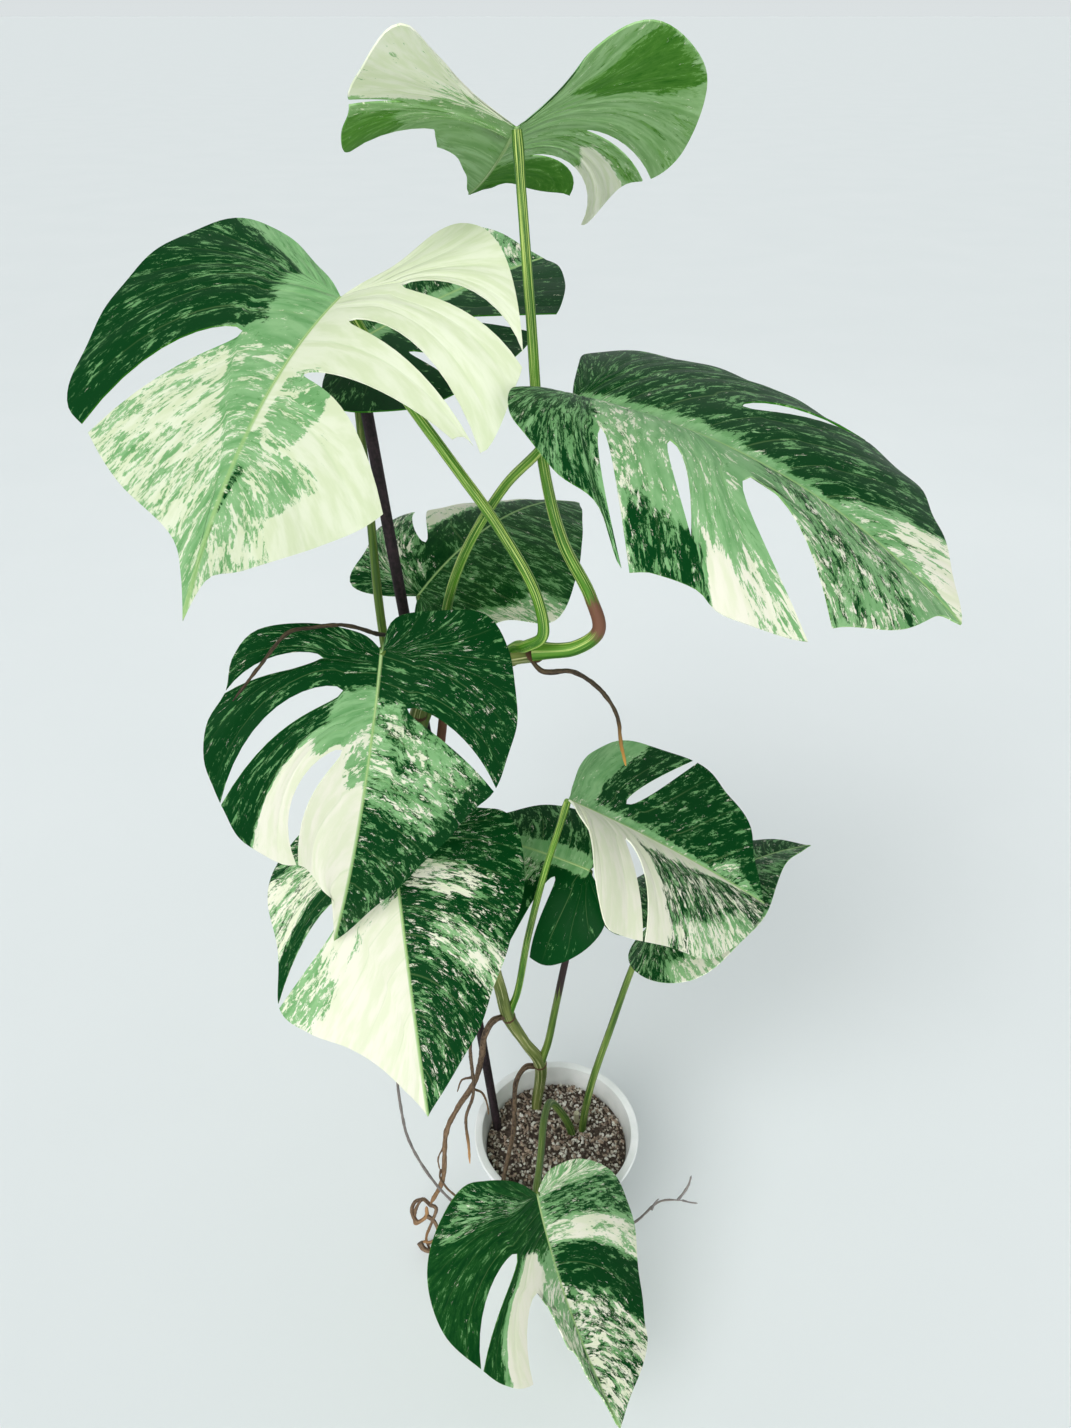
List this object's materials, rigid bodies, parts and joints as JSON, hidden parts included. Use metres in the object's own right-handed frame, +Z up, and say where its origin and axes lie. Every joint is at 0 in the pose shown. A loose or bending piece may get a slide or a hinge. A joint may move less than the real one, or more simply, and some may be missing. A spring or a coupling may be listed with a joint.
{
  "type": "potted variegated monstera",
  "caption": "Tall potted monstera vine leaning on a thin dark stake, with large split cream-marbled leaves and brown aerial roots, in a tapered frosted white nursery pot.",
  "frame": {"origin": "middle of the pot's underside, on the floor it stands on", "axes": "+Z up, the viewer of the picture on the -Y side, +X to that viewer's right"},
  "size_m": [0.448, 0.4826, 0.9076],
  "materials": {
    "pot_plastic": "frosted, slightly see-through white",
    "bark_mix": "loose gritty mix of bark, peat and perlite",
    "stake": "dark brown, smooth",
    "vine": "green with brown leaf scars",
    "cut_stub": "dry, pale, cut flat",
    "petiole": "smooth green with yellow stripes",
    "blade": "satin dark green, marbled with cream",
    "pale_blade": "satin cream lobes and marbled green",
    "aerial_root": "dull brown, corky"
  },
  "bodies": {
    "root": {"pot": "pot_plastic", "soil": "bark_mix", "stake": "stake", "vine_stem": "vine", "stub": "cut_stub", "petiole_top": "petiole", "petiole_upper_left": "petiole", "petiole_upper_back": "petiole", "petiole_right": "petiole", "petiole_middle_back": "petiole", "petiole_middle_left": "petiole", "petiole_lower_left": "petiole", "petiole_lower_back": "petiole", "petiole_lower_right": "petiole", "petiole_lower_right_back": "petiole", "petiole_bottom": "petiole", "blade_top": "blade", "blade_upper_left": "pale_blade", "blade_upper_back": "blade", "blade_right": "blade", "blade_middle_back": "blade", "blade_middle_left": "blade", "blade_lower_left": "blade", "blade_lower_back": "blade", "blade_lower_right": "blade", "blade_lower_right_back": "blade", "blade_bottom": "blade", "root_upper_node": "aerial_root", "root_over_leaf": "aerial_root", "root_long_left": "aerial_root", "root_over_rim": "aerial_root", "root_hanging": "aerial_root", "root_long_grey": "aerial_root"}
  },
  "joints": []
}
